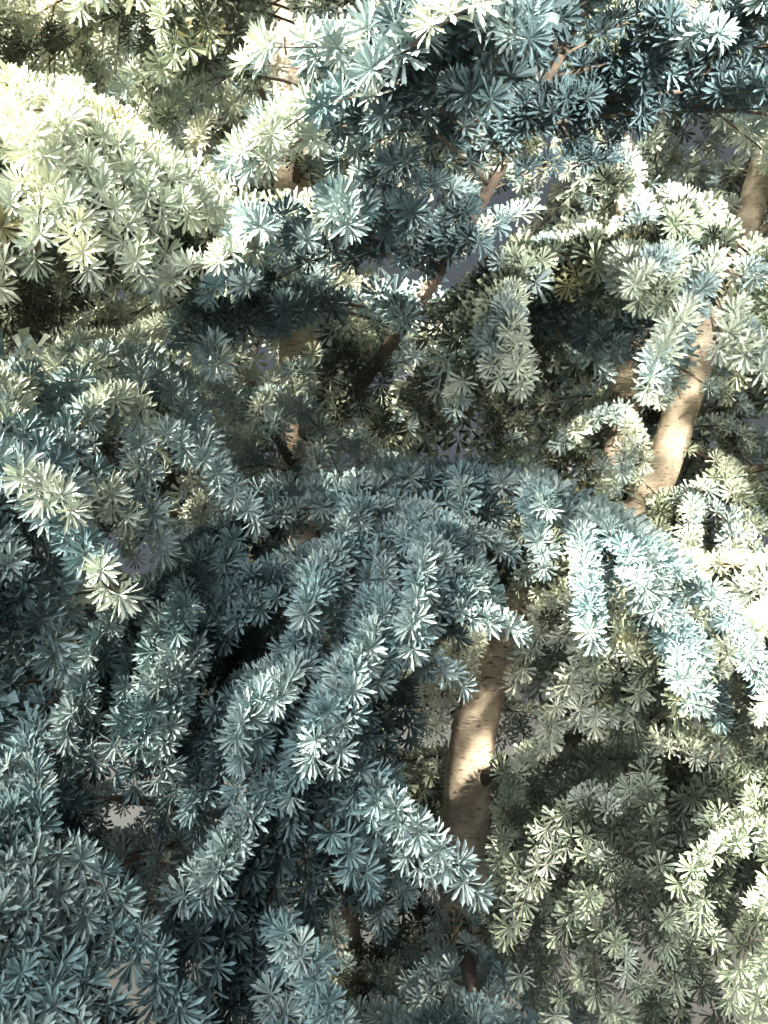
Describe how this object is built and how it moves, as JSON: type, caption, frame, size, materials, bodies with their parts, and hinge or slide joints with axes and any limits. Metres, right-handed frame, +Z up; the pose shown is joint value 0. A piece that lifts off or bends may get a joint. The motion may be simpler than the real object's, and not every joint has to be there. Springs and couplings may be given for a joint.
{
  "type": "young blue cedar tree",
  "caption": "Young blue cedar, rooted: a flared trunk that forks low into leaning leaders, arching boughs and flat, weeping masses of needle sprays round them.",
  "frame": {"origin": "middle of the flat cut under the trunk, at ground level", "axes": "+Z up along the trunk, -Y towards the front of the tree as pictured, +X to the right seen from the front"},
  "size_m": [3.5605, 2.877, 4.2134],
  "materials": {
    "bark": "smooth light grey-tan bark with fine pores and small scars",
    "bough_bark": "dark grey-brown young bark, slightly rough",
    "needles": "waxy pale silver-green needles in rosettes",
    "shade_needles": "waxy blue-grey needles in rosettes"
  },
  "bodies": {
    "root": {"trunk": "bark", "left_leader": "bark", "right_leader": "bark", "inner_fork": "bark", "outer_fork": "bark", "low_back_left_bough": "bough_bark", "low_back_right_bough": "bough_bark", "low_front_bough": "bough_bark", "low_front_left_bough": "bough_bark", "low_front_right_bough": "bough_bark", "low_left_bough": "bough_bark", "low_right_bough": "bough_bark", "mid_front_left_bough": "bough_bark", "reaching_bough": "bough_bark", "weeping_bough": "bough_bark", "high_back_left_mass": "needles", "high_back_mass": "needles", "high_back_right_mass": "needles", "high_front_left_mass": "needles", "high_front_right_mass": "needles", "high_inner_mass": "needles", "high_left_mass": "needles", "high_right_mass": "needles", "inner_tip_mass": "needles", "inner_top_mass": "needles", "left_tip_mass": "needles", "low_back_left_mass": "needles", "low_back_mass": "needles", "low_back_right_mass": "needles", "low_front_left_mass": "needles", "low_front_mass": "shade_needles", "low_front_right_mass": "needles", "low_left_mass": "needles", "low_right_mass": "needles", "mid_back_left_mass": "needles", "mid_back_mass": "needles", "mid_back_right_mass": "needles", "mid_front_left_mass": "needles", "mid_front_right_mass": "needles", "mid_left_mass": "needles", "mid_over_left_mass": "shade_needles", "mid_right_back_mass": "needles", "mid_right_mass": "needles", "outer_tip_mass": "needles", "peak_right_mass": "needles", "reaching_mass": "shade_needles", "top_back_left_mass": "needles", "top_back_mass": "needles", "top_front_mass": "needles", "top_left_mass": "needles", "top_right_mass": "needles", "upper_back_mass": "needles", "upper_back_right_mass": "needles", "upper_front_left_mass": "needles", "upper_front_mass": "needles", "upper_front_right_mass": "needles", "upper_inner_mass": "needles", "upper_left_mass": "needles", "upper_right_mass": "needles", "weeping_mass": "shade_needles"}
  },
  "joints": []
}
